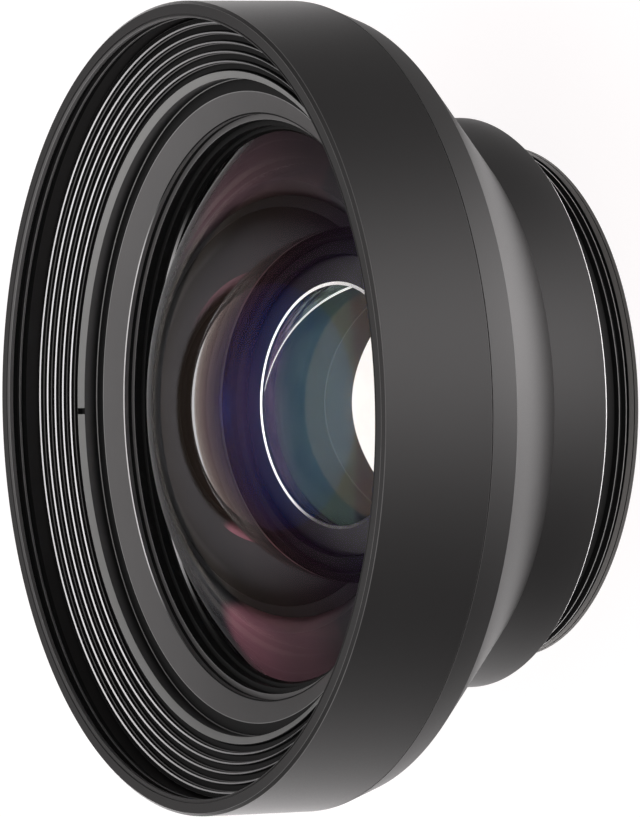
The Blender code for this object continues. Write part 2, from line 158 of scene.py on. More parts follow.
# %% Node groups for tool marks, grain and dust
def new_group(name, inputs, outputs):
    """An empty shader node group with named number sockets and colour sockets."""
    group = bpy.data.node_groups.new(name, "ShaderNodeTree")
    for label, value in inputs.items():
        socket = group.interface.new_socket(label, in_out="INPUT", socket_type="NodeSocketFloat")
        socket.default_value = value
    for label in outputs:
        group.interface.new_socket(label, in_out="OUTPUT", socket_type="NodeSocketFloat")
    start = group.nodes.new("NodeGroupInput")
    end = group.nodes.new("NodeGroupOutput")
    return group, start, end


def maths(tree, operation, first, second=None, clamp=False):
    """A Math node whose inputs are sockets or numbers."""
    node = tree.nodes.new("ShaderNodeMath")
    node.operation = operation
    node.use_clamp = clamp
    for place, value in ((0, first), (1, second)):
        if value is None:
            continue
        if isinstance(value, (int, float)):
            node.inputs[place].default_value = value
        else:
            tree.links.new(value, node.inputs[place])
    return node.outputs[0]


def square(tree, value):
    """A value times itself."""
    return maths(tree, "MULTIPLY", value, value)


def bell(tree, squares):
    """A smooth bell curve of a squared distance: 1 in the middle and 0 far away."""
    return maths(tree, "POWER", 2.718, maths(tree, "MULTIPLY", squares, -1.0))


def ramp(tree, value, low, high, start=0.0, end=1.0):
    """A smooth step of a value between two limits."""
    node = tree.nodes.new("ShaderNodeMapRange")
    node.interpolation_type = "SMOOTHSTEP"
    tree.links.new(value, node.inputs["Value"])
    limits = {"From Min": low, "From Max": high, "To Min": start, "To Max": end}
    for label, number in limits.items():
        node.inputs[label].default_value = number
    return node.outputs["Result"]


def noise(tree, vector, scale, detail=2.0, roughness=0.5):
    """A Noise Texture in three dimensions."""
    node = tree.nodes.new("ShaderNodeTexNoise")
    node.inputs["Detail"].default_value = detail
    node.inputs["Roughness"].default_value = roughness
    if isinstance(scale, (int, float)):
        node.inputs["Scale"].default_value = scale
    else:
        tree.links.new(scale, node.inputs["Scale"])
    tree.links.new(vector, node.inputs["Vector"])
    return node.outputs["Fac"]


def round_axis(tree):
    """Radius in metres, angle in radians and height in metres of a shaded point."""
    place = tree.nodes.new("ShaderNodeTexCoord")
    split = tree.nodes.new("ShaderNodeSeparateXYZ")
    tree.links.new(place.outputs["Object"], split.inputs[0])
    squares = maths(tree, "ADD", square(tree, split.outputs["X"]), square(tree, split.outputs["Y"]))
    radius = maths(tree, "SQRT", squares)
    angle = maths(tree, "ARCTAN2", split.outputs["Y"], split.outputs["X"])
    return radius, angle, split.outputs["Z"]


def lathe_coordinates(tree):
    """Radius and height as the only two coordinates, so that a pattern runs in rings."""
    radius, _, height = round_axis(tree)
    join = tree.nodes.new("ShaderNodeCombineXYZ")
    tree.links.new(radius, join.inputs["X"])
    tree.links.new(height, join.inputs["Y"])
    return join.outputs[0]


def tool_marks_group():
    """Rings left by the cutting tool, fine and coarse, as a height from 0 to 1."""
    group, start, end = new_group("tool_marks", {"Scale": 9000.0}, ["Height"])
    rings = lathe_coordinates(group)
    fine = noise(group, rings, start.outputs["Scale"], 1.0)
    coarse = noise(group, rings, maths(group, "MULTIPLY", start.outputs["Scale"], 0.21), 2.0)
    both = maths(
        group,
        "ADD",
        maths(group, "MULTIPLY", fine, 0.65),
        maths(group, "MULTIPLY", coarse, 0.35),
    )
    group.links.new(both, end.inputs["Height"])
    return group


def grain_group():
    """Fine blasted grain as a height, and slow patches of handling as a mask."""
    group, start, end = new_group("blasted_grain", {"Scale": 7000.0}, ["Height", "Patches"])
    place = group.nodes.new("ShaderNodeTexCoord")
    fine = noise(group, place.outputs["Object"], start.outputs["Scale"], 2.0, 0.6)
    slow = noise(group, place.outputs["Object"], 90.0, 4.0, 0.6)
    group.links.new(fine, end.inputs["Height"])
    group.links.new(slow, end.inputs["Patches"])
    return group


TOOL_MARKS = tool_marks_group()
GRAIN = grain_group()
print("node groups:", TOOL_MARKS.name, GRAIN.name)

# %% [markdown]
# ## Finishes
# The metal is black anodised aluminium. The dye sits in a clear oxide layer over dull metal, so it
# behaves like a dark surface with a soft clear reflection, and is not modelled as bare metal.
# Rubbed edges are lighter. Rings that only face the inside are blacker and duller.

# %% Metal finishes
def blend(tree, first, second, factor):
    """A Mix node between two colours."""
    node = tree.nodes.new("ShaderNodeMix")
    node.data_type = "RGBA"
    tree.links.new(factor, node.inputs["Factor"])
    for place, value in ((6, first), (7, second)):
        if isinstance(value, tuple):
            node.inputs[place].default_value = (*value, 1.0)
        else:
            tree.links.new(value, node.inputs[place])
    return node.outputs[2]


def placed(tree, group, **values):
    """A node group placed in a tree with its own values."""
    node = tree.nodes.new("ShaderNodeGroup")
    node.node_tree = group
    for label, value in values.items():
        node.inputs[label].default_value = value
    return node


def anodised(name, dark, light, edge_colour, roughness, marks=0.3, grain=0.3, specular=0.5):
    """Black anodised aluminium with blasted grain, tool marks and brighter rubbed edges."""
    material = bpy.data.materials.new(name)
    material.use_nodes = True
    tree = material.node_tree
    shader = tree.nodes["Principled BSDF"]
    shader.inputs["IOR"].default_value = 1.5
    shader.inputs["Specular IOR Level"].default_value = specular
    blasted = placed(tree, GRAIN, Scale=7000.0)
    turned_marks = placed(tree, TOOL_MARKS, Scale=9000.0)
    colour = blend(tree, dark, light, blasted.outputs["Patches"])
    rubbed_and_painted_glint = tree.nodes.new("ShaderNodeAttribute")
    rubbed_and_painted_glint.attribute_name = "edge"
    worn_and_painted_sheen = maths(
        tree,
        "MULTIPLY",
        rubbed_and_painted_glint.outputs["Fac"],
        maths(tree, "ADD", blasted.outputs["Patches"], 0.25),
    )
    tree.links.new(blend(tree, colour, edge_colour, worn_and_painted_sheen), shader.inputs["Base Color"])
    rough = maths(
        tree,
        "ADD",
        roughness - 0.05,
        maths(tree, "MULTIPLY", blasted.outputs["Height"], 0.1),
    )
    tree.links.new(rough, shader.inputs["Roughness"])
    height = maths(
        tree,
        "ADD",
        maths(tree, "MULTIPLY", blasted.outputs["Height"], grain),
        maths(tree, "MULTIPLY", turned_marks.outputs["Height"], marks),
    )
    bump = tree.nodes.new("ShaderNodeBump")
    bump.inputs["Strength"].default_value = 0.5
    bump.inputs["Distance"].default_value = 0.01 * MM
    tree.links.new(height, bump.inputs["Height"])
    tree.links.new(bump.outputs["Normal"], shader.inputs["Normal"])
    return material


def lay_bare(material, share=1.0):
    """Shows the metal itself instead of a dyed layer, wholly or in part."""
    material.node_tree.nodes["Principled BSDF"].inputs["Metallic"].default_value = share


def neutral(value):
    """A neutral colour."""
    return (value, value, value)


OUTER_METAL = anodised(
    "satin_black_anodising",
    (0.005, 0.004, 0.004),
    (0.009, 0.008, 0.008),
    (0.26, 0.25, 0.25),
    roughness=0.42,
)
RING_METAL = anodised(
    "turned_black_anodising",
    (0.020, 0.019, 0.019),
    (0.030, 0.028, 0.028),
    (0.30, 0.29, 0.29),
    roughness=0.36, marks=0.9, grain=0.2,
)
CONE_METAL = anodised(
    "satin_grey_anodising",
    (0.115, 0.110, 0.110),
    (0.140, 0.134, 0.134),
    (0.50, 0.49, 0.49),
    roughness=0.36, marks=0.9, grain=0.3,
)
BAND_METAL = anodised(
    "pale_turned_face",
    (0.26, 0.255, 0.25),
    (0.34, 0.335, 0.33),
    (0.35, 0.34, 0.34),
    roughness=0.36, marks=0.9, grain=0.6,
)
DEEP_METAL = anodised(
    "dull_black_paint",
    neutral(0.003),
    neutral(0.005),
    neutral(0.02),
    roughness=0.62, marks=0.5, grain=0.5, specular=0.2,
)
CELL_METAL = anodised(
    "cell_black_anodising",
    neutral(0.008),
    neutral(0.012),
    neutral(0.35),
    roughness=0.35, marks=0.9, grain=0.2,
)
BARE_METAL = anodised(
    "bare_turned_edge",
    (0.80, 0.80, 0.81),
    (0.90, 0.90, 0.91),
    neutral(0.9),
    roughness=0.3, marks=0.9, grain=0.2,
)
lay_bare(BARE_METAL)
print("metal finishes:", OUTER_METAL.name, RING_METAL.name, DEEP_METAL.name, CELL_METAL.name)

# %% [markdown]
# ## Coated glass
# Each glass surface has an interference coating. Its colour changes with the angle of view, from
# violet through red to amber, which no fixed tint can show. The Principled shader has a thin film
# of its own, so each surface gets a material with its own film. The ground edge of the glass is
# lacquered dark grey. Its colour also carries a painted reflection: wine-red at a slant in two
# sectors round the axis, and a lighter grey at a glancing view and near its outer edge, on one
# side.

# %% Glass finishes
GLASS_IOR = 1.62
COATING_IOR, HOLLOW_COATING_IOR = 1.30, 1.25


def coated_glass(name, film, film_ior=COATING_IOR, tint=(1.0, 1.0, 1.0)):
    """Polished optical glass with a thin film of a thickness in nanometres, and its mirror tint."""
    material = bpy.data.materials.new(name)
    material.use_nodes = True
    shader = material.node_tree.nodes["Principled BSDF"]
    shader.inputs["Base Color"].default_value = (0.985, 0.99, 0.985, 1.0)
    shader.inputs["Roughness"].default_value = 0.0
    shader.inputs["Transmission Weight"].default_value = 1.0
    shader.inputs["IOR"].default_value = GLASS_IOR
    shader.inputs["Thin Film Thickness"].default_value = film
    shader.inputs["Thin Film IOR"].default_value = film_ior
    shader.inputs["Specular Tint"].default_value = (*tint, 1.0)
    return material


# A film that is met from inside the glass acts as if it were thinner by the index of the glass.
DOME_GLASS = coated_glass("dome_coating", 118.0, tint=(0.72, 0.77, 0.80))
HOLLOW_GLASS = coated_glass("hollow_coating", 240.0, HOLLOW_COATING_IOR)
REAR_GLASS = coated_glass("rear_dome_coating", 92.0)
REAR_FLAT = coated_glass("rear_flat_coating", 405.0, tint=(0.22, 0.34, 0.25))
DOME_GLASS.node_tree.nodes["Principled BSDF"].inputs["Sheen Weight"].default_value = 1.0
DOME_GLASS.node_tree.nodes["Principled BSDF"].inputs["Sheen Roughness"].default_value = 0.14


def soften_limb(material):
    """Dust on the dome blurs what it mirrors at a glancing angle."""
    tree = material.node_tree
    slant = tree.nodes.new("ShaderNodeLayerWeight")
    slant.inputs["Blend"].default_value = 0.5
    blur = ramp(tree, slant.outputs["Facing"], 0.72, 0.92, 0.0, 0.4)
    tree.links.new(blur, tree.nodes["Principled BSDF"].inputs["Roughness"])


soften_limb(DOME_GLASS)
EDGE_BLACK = anodised(
    "lacquered_glass_edge",
    neutral(0.03),
    neutral(0.04),
    neutral(0.02),
    roughness=0.5, marks=0.0, grain=0.04,
)


def lacquer_colour(material):
    """Painted reflection: wine-red at a slant in two sectors round the axis, and lighter grey at a
    glancing view and near the outer edge on one side; dark grey elsewhere.
    """
    tree = material.node_tree
    radius, angle, _ = round_axis(tree)
    start = ramp(tree, angle, radians(-126), radians(-119))
    fade = ramp(tree, angle, radians(-120), radians(-92), 1.0, 0.38)
    end = ramp(tree, angle, radians(-92), radians(-74), 1.0, 0.3)
    lower = maths(tree, "MULTIPLY", maths(tree, "MULTIPLY", start, fade), end)
    lower = maths(tree, "MULTIPLY", lower, ramp(tree, angle, radians(-76), radians(-72), 1.0, 0.0))
    upper = maths(
        tree,
        "MULTIPLY",
        ramp(tree, angle, radians(82), radians(122), 0.10, 0.34),
        maths(
            tree,
            "MULTIPLY",
            ramp(tree, angle, radians(74), radians(78)),
            ramp(tree, angle, radians(128), radians(150), 1.0, 0.0),
        ),
    )
    # Painted reflection and sheen: the colour below changes with the angle of view.
    gloss = tree.nodes.new("ShaderNodeLayerWeight")
    gloss.inputs["Blend"].default_value = 0.5
    slanted = ramp(tree, gloss.outputs["Facing"], 0.11, 0.17)
    sectors = maths(tree, "MULTIPLY", maths(tree, "MAXIMUM", lower, upper), slanted)
    turned = maths(tree, "ABSOLUTE", angle)
    beyond = ramp(tree, turned, radians(118), radians(135))
    worn_and_painted_sheen = maths(
        tree,
        "MAXIMUM",
        ramp(tree, gloss.outputs["Facing"], 0.30, 0.52),
        ramp(tree, radius, 0.0236, 0.0252),
    )
    grey = blend(
        tree,
        (0.056, 0.055, 0.060),
        (0.14, 0.14, 0.145),
        maths(tree, "MULTIPLY", worn_and_painted_sheen, beyond),
    )
    red = blend(tree, grey, (0.38, 0.16, 0.20), sectors)
    tree.links.new(red, tree.nodes["Principled BSDF"].inputs["Base Color"])


lacquer_colour(EDGE_BLACK)
lay_bare(EDGE_BLACK, 0.85)
REAR_EDGE = anodised(
    "blackened_glass_edge",
    (0.012, 0.011, 0.011),
    (0.018, 0.017, 0.017),
    neutral(0.02),
    roughness=0.5, marks=0.3, grain=0.6,
)
print("glass finishes:", DOME_GLASS.name, HOLLOW_GLASS.name, REAR_GLASS.name)

# %% [markdown]
# ## The hood ring
# The front of the bell is one turned ring. Its face is a narrow flat rim with a small outer
# chamfer. Inside come a thin lip, a groove cut behind it, a narrow ridge and a plain wall.

# %% Hood ring
SEAM_DEPTH = 11.45
hood_corners = [
    (36.94, 0.0, 0.0),
    (37.04, 0.0, 0.0),
    (37.07, 0.1, 0.0),
    (37.13, 0.1, 0.0),
    (37.16, 0.0, 0.0),
    (38.1, 0.0, 0.03),
    (38.4, 0.3, 0.06),
    (38.4, SEAM_DEPTH, 0.05),
    (37.15, SEAM_DEPTH, 0.0),
    (37.15, 2.15, 0.0),
    (37.15, 1.75, 0.0),
    (36.85, 1.45, 0.03),
    (36.85, 1.25, 0.03),
    (37.3, 1.25, 0.0),
    (37.3, 0.55, 0.0),
    (36.8, 0.55, 0.05),
    (36.8, 0.16, 0.04),
]
hood_shape = spun(section(hood_corners))
paint(hood_shape, 1, lambda radius, depth, inward, up: radius < 36.95 and depth < 0.6 and up > -0.5)
paint(
    hood_shape,
    2,
    lambda radius, depth, inward, up: radius < 38.0 and depth > 0.6 and inward > -0.5,
)
paint(hood_shape, 2, lambda radius, depth, inward, up: 37.03 < radius < 37.16 and depth < 0.12)
paint(
    hood_shape,
    3,
    lambda radius, depth, inward, up: 36.86 < radius < 37.4 and 0.56 < depth < 1.24,
)
# Painted shade: the wall just under the ridge lies in shade and gets dull black paint.
paint(hood_shape, 3, lambda radius, depth, inward, up: 36.9 < radius < 37.2 and 1.5 < depth < 2.1)
paint(
    hood_shape,
    1,
    lambda radius, depth, inward, up: radius < 36.9 and 1.2 < depth < 1.5 and up > -0.5,
)
as_piece(
    hood_shape,
    "hood",
    [OUTER_METAL, CONE_METAL, RING_METAL, DEEP_METAL],
    "anodised_body",
    "hood_ring",
)

# %% [markdown]
# ## The main body
# Behind the seam a short band tapers slightly, a straight cone leads down to the barrel, and the
# barrel ends in a bright chamfer. The bore has steps for the glass and the cell, as the real one.

# %% Main body
body_corners = [
    (31.1, 9.25, 0.05),
    (36.85, 9.25, 0.05),
    (36.85, 11.52, 0.0),
    (38.4, 11.52, 0.05),
    (37.2, 14.75, 0.07),
    (27.25, 24.45, 0.0),
    (27.25, 30.0, 0.03),
    (27.05, 30.2, 0.03),
    (24.8, 30.2, 0.05),
    (24.8, 29.6, 0.0),
    (23.5, 29.6, 0.05),
    (23.5, 16.94, 0.0),
    (28.3, 16.94, 0.0),
    (28.3, 13.28, 0.05),
    (31.1, 13.28, 0.0),
]
body_shape = spun(section(body_corners))
paint(
    body_shape,
    1,
    lambda radius, depth, inward, up: 27.0 < radius and 30.02 < depth < 30.19 and inward < -0.3,
)
as_piece(body_shape, "body", [OUTER_METAL, BARE_METAL], "anodised_body", "lens_barrel")

# %% [markdown]
# ## The baffle ring
# This ring traps stray light. Five grooves with narrow crests between them step inwards and down to
# a bevelled face. Each groove has a flat floor with a fine line at its foot, which a plain V would
# lose.

# %% Baffle ring
RIB_PITCH, RIB_DROP = 0.91, 0.37
FIRST_CREST, FIRST_DEPTH = 36.43, 3.2


def rib_corners():
    """Corners of the ribs from the outside in."""
    corners = []
    for number in range(5):
        radius = FIRST_CREST - number * RIB_PITCH
        depth = FIRST_DEPTH + number * RIB_DROP
        corners.append((radius, depth, 0.02))
        corners.append((radius - 0.05, depth, 0.0))
        corners.append((radius - 0.18, depth + 0.08, 0.0))
        corners.append((radius - 0.20, depth + 0.38, 0.0))
        corners.append((radius - 0.29, depth + 0.43, 0.0))
        corners.append((radius - 0.32, depth + 0.68, 0.0))
        corners.append((radius - RIB_PITCH + 0.11, depth + 0.66, 0.0))
    return corners


baffle_corners = [
    (36.85, 3.2, 0.05),
    (36.85, 8.95, 0.1),
    (31.1, 8.95, 0.1),
    (31.1, 6.85, 0.0),
    (31.04, 6.84, 0.0),
]
baffle_corners += [(31.04, 6.81, 0.0), (31.1, 6.74, 0.0), (31.1, 5.45, 0.03)]
baffle_corners += [(31.74, 5.05, 0.03), (31.84, 5.05, 0.0), (31.88, 5.5, 0.0)]
baffle_corners += list(reversed(rib_corners()))
baffle_shape = spun(section(baffle_corners))
paint(baffle_shape, 3, lambda radius, depth, inward, up: 31.8 < radius < 36.8 and depth < 6.0)
paint(
    baffle_shape,
    4,
    lambda radius, depth, inward, up: radius > 31.9 and 0.4 < inward < 0.56 and depth < 5.5,
)
paint(
    baffle_shape,
    1,
    lambda radius, depth, inward, up: radius > 31.9 and 0.5 < inward < 0.56 and depth < 5.5,
)
paint(
    baffle_shape,
    2,
    lambda radius, depth, inward, up: 31.05 < radius < 31.8 and depth < 5.5 and up > 0.5,
)
paint(
    baffle_shape,
    4,
    lambda radius, depth, inward, up: 31.9 < radius < 32.55 and 0.4 < inward < 0.56 and depth < 5.5,
)
paint(
    baffle_shape,
    2,
    lambda radius, depth, inward, up: radius < 31.1 and 6.7 < depth < 6.82 and up > 0.3,
)
paint(
    baffle_shape,
    5,
    lambda radius, depth, inward, up: (
        31.05 < radius < 31.15 and 5.5 < depth < 6.75 and inward > 0.9
    ),
)
# Painted shade: this wall's colour is replaced below by one that darkens down the wall.
WALL_METAL = anodised(
    "wall_anodising_painted_shade",
    neutral(0.1),
    neutral(0.1),
    neutral(0.3),
    roughness=0.4, marks=0.9, grain=0.3,
)


def darker_downwards(material):
    """Painted shade: the wall's colour darkens downwards, towards the step below, where it lies in
    shade.
    """
    tree = material.node_tree
    _, _, height = round_axis(tree)
    depth_share = ramp(tree, height, at(6.6), at(5.6))
    colour = blend(tree, (0.004, 0.004, 0.004), (0.095, 0.092, 0.092), depth_share)
    tree.links.new(colour, tree.nodes["Principled BSDF"].inputs["Base Color"])


darker_downwards(WALL_METAL)
baffle = as_piece(
    baffle_shape,
    "baffle",
    [RING_METAL, BARE_METAL, BAND_METAL, DEEP_METAL, CONE_METAL, WALL_METAL],
    "anodised_body",
    "baffle_ring",
)

NOTCH_WIDTH, NOTCH_FLOOR = 0.6, 5.5


def cut_notches(piece, material_number):
    """Cuts the two slots for a pin spanner through the bevelled face, on opposite sides."""
    tool = bmesh.new()
    for side in (1, -1):
        size = Matrix.Diagonal((1.0 * MM, NOTCH_WIDTH * MM, 1.5 * MM, 1.0))
        middle = Matrix.Translation((side * 31.26 * MM, 0, at(NOTCH_FLOOR - 0.75)))
        bmesh.ops.create_cube(tool, size=1.0, matrix=middle @ size)
    for face in tool.faces:
        face.material_index = material_number
    tool_mesh = bpy.data.meshes.new("notch_tool")
    tool.to_mesh(tool_mesh)
    tool.free()
    for material in piece.data.materials:
        tool_mesh.materials.append(material)
    cutter = bpy.data.objects.new("notch_tool", tool_mesh)
    bpy.context.scene.collection.objects.link(cutter)
    cut = piece.modifiers.new("notches", "BOOLEAN")
    cut.object = cutter
    cut.operation = "DIFFERENCE"
    cut.solver = "EXACT"
    evaluated = piece.evaluated_get(bpy.context.evaluated_depsgraph_get())
    result = bpy.data.meshes.new_from_object(evaluated)
    piece.modifiers.remove(cut)
    piece.data = result
    bpy.data.objects.remove(cutter)
    print("notches cut:", len(result.polygons), "faces left in", piece.name)


cut_notches(baffle, 3)

# %% [markdown]
# ## The front retaining ring
# It screws in over the front glass. The outer flat and the cone face the light and read pale, and
# the steps below them are painted dull black to keep light from the edge of the glass.

# %% Front retaining ring
retainer_corners = [
    (29.85, 6.86, 0.05),
    (31.03, 6.86, 0.06),
    (31.03, 8.8, 0.0),
    (30.8, 8.95, 0.0),
    (30.8, 12.98, 0.1),
    (28.0, 12.98, 0.0),
    (26.08, 11.0, 0.0),
    (26.08, 10.66, 0.0),
    (26.26, 10.47, 0.0),
    (26.63, 10.47, 0.0),
    (26.63, 9.67, 0.04),
    (27.18, 9.67, 0.0),
    (27.18, 8.87, 0.04),
    (27.73, 8.87, 0.0),
    (27.73, 8.5, 0.0),
    (27.73, 8.09, 0.0),
    (27.87, 8.04, 0.0),
]
retainer_shape = spun(section(retainer_corners))
paint(retainer_shape, 1, lambda radius, depth, inward, up: radius < 27.74 and depth > 8.45)
paint(retainer_shape, 1, lambda radius, depth, inward, up: 29.9 < radius < 31.2 and up > 0.9)
paint(
    retainer_shape,
    0,
    lambda radius, depth, inward, up: 27.2 < radius < 27.7 and depth < 8.9 and up > 0.9,
)
paint(retainer_shape, 2, lambda radius, depth, inward, up: radius < 26.25 and 10.48 < depth < 10.65)
paint(retainer_shape, 2, lambda radius, depth, inward, up: 27.74 < radius < 27.86 and depth < 8.2)
LIP_METAL = anodised(
    "lip_edge_painted_glint",
    neutral(0.8),
    neutral(0.9),
    neutral(0.9),
    roughness=0.3, marks=0.9, grain=0.2,
)
lay_bare(LIP_METAL)


def painted_glint_side(material, bare):
    """Painted glint: the lip is black, but on one side it is partly bright bare metal where a glint
    falls, with a faint trace low on another side.
    """
    tree = material.node_tree
    _, angle, _ = round_axis(tree)
    turned = maths(tree, "ABSOLUTE", maths(tree, "SUBTRACT", maths(tree, "ABSOLUTE", angle), pi))
    rubbed_and_painted_glint = ramp(tree, turned, radians(28), radians(50), 0.45, 0.0)
    lower = ramp(tree, angle, radians(-140), radians(-115), 0.05, 0.0)
    colour = blend(tree, (0.006, 0.006, 0.006), bare, maths(tree, "MAXIMUM", rubbed_and_painted_glint, lower))
    tree.links.new(colour, tree.nodes["Principled BSDF"].inputs["Base Color"])


# Painted glint: bright bare metal shows on one side of the lip only.
painted_glint_side(LIP_METAL, (0.9, 0.9, 0.9))
as_piece(
    retainer_shape,
    "retainer",
    [CONE_METAL, DEEP_METAL, LIP_METAL],
    "anodised_body",
    "front_retaining_ring",
)

# %% [markdown]
# ## The two glasses
# What the photograph shows inside the lens is real optics: the hollow back of the front glass
# mirrors the room, and the rear window shows through both glasses as a bright crescent. So both are
# modelled as true lenses with exact spherical surfaces, from the curvatures that a ray trace gave.
# The surfaces are arcs of many short edges, because any facet would show in a refraction.

# %% Glass surfaces
def spherical(apex, curve, outer, count, inwards=False):
    """Corners of a spherical surface between the axis and a radius."""
    corners = []
    for number in range(count + 1):
        radius = outer * sin(pi / 2 * number / count)
        corners.append((radius, apex + curve - sqrt(curve**2 - radius**2), 0.0))
    return list(reversed(corners)) if inwards else corners


dome_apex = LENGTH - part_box("front_element")[1].z / MM
DOME_CURVE, HOLLOW_CURVE, CENTRE_THICKNESS = 37.4, 19.8, 2.98
element_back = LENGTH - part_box("front_element")[0].z / MM
hollow_apex = dome_apex + CENTRE_THICKNESS
hollow_radius = sqrt(HOLLOW_CURVE**2 - (hollow_apex + HOLLOW_CURVE - element_back) ** 2)
front_corners = spherical(dome_apex, DOME_CURVE, 28.0, 90) + [(28.0, element_back, 0.05)]
front_corners += spherical(hollow_apex, HOLLOW_CURVE, hollow_radius, 80, inwards=True)
front_shape = spun(section(front_corners))
for face in front_shape.faces:
    centre = face.calc_center_median()
    radius = Vector((centre.x, centre.y)).length / MM
    depth = LENGTH - centre.z / MM
    on_dome = abs(Vector((radius, depth - dome_apex - DOME_CURVE)).length - DOME_CURVE) < 0.02
    in_hollow = radius < hollow_radius and not on_dome
    face.material_index = 0 if on_dome else 1 if in_hollow else 2
as_piece(
    front_shape,
    "front_glass",
    [DOME_GLASS, HOLLOW_GLASS, EDGE_BLACK],
    "coated_glass",
    "front_element",
)

rear_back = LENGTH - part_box("rear_element")[0].z / MM
rear_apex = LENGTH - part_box("rear_element")[1].z / MM
REAR_CURVE = 45.0
rear_corners = spherical(rear_apex, REAR_CURVE, 14.1, 70)
rear_corners += [(14.1, rear_back, 0.05), (0.0, rear_back, 0.0)]
rear_shape = spun(section(rear_corners))
for face in rear_shape.faces:
    centre = face.calc_center_median()
    rim = abs(face.normal.z) < 0.1 and Vector((centre.x, centre.y)).length > 13.9 * MM
    face.material_index = 1 if rim else 2 if face.normal.z < -0.9 else 0
as_piece(
    rear_shape, "rear_glass", [REAR_GLASS, REAR_EDGE, REAR_FLAT], "coated_glass", "rear_element"
)
print(f"front glass from {dome_apex:.2f} to {element_back:.2f}")
print(f"rear glass from {rear_apex:.2f} to {rear_back:.2f}")

# %% [markdown]
# ## Haze on the rear glass
# Years of use leave a veil of fine dust on the rear glass, and a streaky crescent is drawn near
# its upper edge. A thin see-through shell just in front of the glass carries both, so that the
# glass itself stays clear. Its alpha holds the veil, the specks and the crescent. The crescent's
# border glows as a painted glint, and the veil's pink on one side and teal elsewhere are a painted
# reflection tint.

# %% Haze shell
HAZE_GAP = 0.03
CLEAN_CENTRE, CLEAN_RADIUS = (7.2, -12.7), 25.0


def haze_material():
    """Pale dust whose alpha draws a veil, specks and a streaked crescent, with a painted glint
    glowing on the crescent's border and a painted reflection tint of pink and teal.
    """
    material = bpy.data.materials.new("dust_haze_painted_glint")
    material.use_nodes = True
    tree = material.node_tree
    shader = tree.nodes["Principled BSDF"]
    place = tree.nodes.new("ShaderNodeTexCoord")
    split = tree.nodes.new("ShaderNodeSeparateXYZ")
    tree.links.new(place.outputs["Object"], split.inputs[0])
    across = maths(tree, "SUBTRACT", split.outputs["X"], CLEAN_CENTRE[0] * MM)
    along = maths(tree, "SUBTRACT", split.outputs["Y"], CLEAN_CENTRE[1] * MM)
    squares = maths(tree, "ADD", square(tree, across), square(tree, along))
    distance = maths(tree, "SQRT", squares)
    crescent = ramp(tree, distance, (CLEAN_RADIUS - 0.05) * MM, (CLEAN_RADIUS + 0.05) * MM)
    far_side = ramp(
        tree,
        distance,
        (CLEAN_RADIUS + 0.22) * MM,
        (CLEAN_RADIUS + 0.36) * MM,
        1.0,
        0.0,
    )
    painted_glint_border = maths(tree, "MULTIPLY", crescent, far_side)
    swirl = tree.nodes.new("ShaderNodeCombineXYZ")
    tree.links.new(maths(tree, "MULTIPLY", distance, 9.0), swirl.inputs["X"])
    tree.links.new(split.outputs["X"], swirl.inputs["Y"])
    streaks = ramp(tree, noise(tree, swirl.outputs[0], 260.0, 3.0, 0.6), 0.42, 0.66, 0.04, 0.42)
    specks = ramp(
        tree,
        noise(tree, place.outputs["Object"], 5200.0, 1.0, 0.5),
        0.70,
        0.76,
        0.0,
        0.22,
    )
    patches = ramp(
        tree,
        noise(tree, place.outputs["Object"], 240.0, 3.0, 0.6),
        0.35,
        0.65,
        0.03,
        0.08,
    )
    patches = maths(tree, "ADD", patches, ramp(tree, split.outputs["X"], -0.011, -0.004, 0.07, 0.0))
    veil = maths(tree, "ADD", patches, maths(tree, "MULTIPLY", specks, patches))
    alpha = maths(tree, "ADD", veil, maths(tree, "MULTIPLY", crescent, streaks))
    tree.links.new(maths(tree, "MAXIMUM", alpha, painted_glint_border), shader.inputs["Alpha"])
    # Painted reflection tint: the veil is pink on one side and teal elsewhere.
    reflection_tint_side = ramp(tree, split.outputs["X"], -0.0105, -0.0035, 1.0, 0.0)
    dust_and_reflection_tint = blend(tree, (0.56, 0.70, 0.66), (0.95, 0.66, 0.90), reflection_tint_side)
    tree.links.new(blend(tree, dust_and_reflection_tint, (1.0, 1.0, 1.0), painted_glint_border), shader.inputs["Base Color"])
    # Painted glint: the crescent's border glows white, though it is no lamp.
    tree.links.new(
        blend(tree, (0.0, 0.0, 0.0), (1.0, 1.0, 1.0), painted_glint_border),
        shader.inputs["Emission Color"],
    )
    shader.inputs["Emission Strength"].default_value = 0.55
    tree.links.new(
        maths(tree, "SUBTRACT", 0.8, maths(tree, "MULTIPLY", painted_glint_border, 0.45)),
        shader.inputs["Roughness"],
    )
    return material


haze_shape = bmesh.new()
haze_line = []
for radius, depth, _ in spherical(rear_apex - HAZE_GAP, REAR_CURVE, 13.3, 40):
    haze_line.append(haze_shape.verts.new((radius * MM, 0.0, at(depth))))
for first, second in zip(haze_line, haze_line[1:]):
    haze_shape.edges.new((first, second))
bmesh.ops.spin(
    haze_shape,
    geom=list(haze_shape.verts) + list(haze_shape.edges),
    cent=(0, 0, 0),
    axis=(0, 0, 1),
    angle=2 * pi,
    steps=96,
    use_merge=True,
    use_normal_flip=False,
    use_duplicate=False,
)
bmesh.ops.remove_doubles(haze_shape, verts=haze_shape.verts, dist=1e-7)
bmesh.ops.recalc_face_normals(haze_shape, faces=haze_shape.faces)
if sum(face.normal.z for face in haze_shape.faces) < 0:
    bmesh.ops.reverse_faces(haze_shape, faces=haze_shape.faces)
as_piece(haze_shape, "rear_glass_haze", [haze_material()], "coated_glass")

# %% [markdown]
# ## Spacer, cell and the rings behind
# Between the glasses a stepped black funnel swallows stray light. The cell's thin lip is bare at
# its edge and shows as the fine white arc through the front glass. Its brightness is a painted
# highlight, kept only over the sectors where the arc shows, and nearly black elsewhere. The plate
# at the rear has the window.

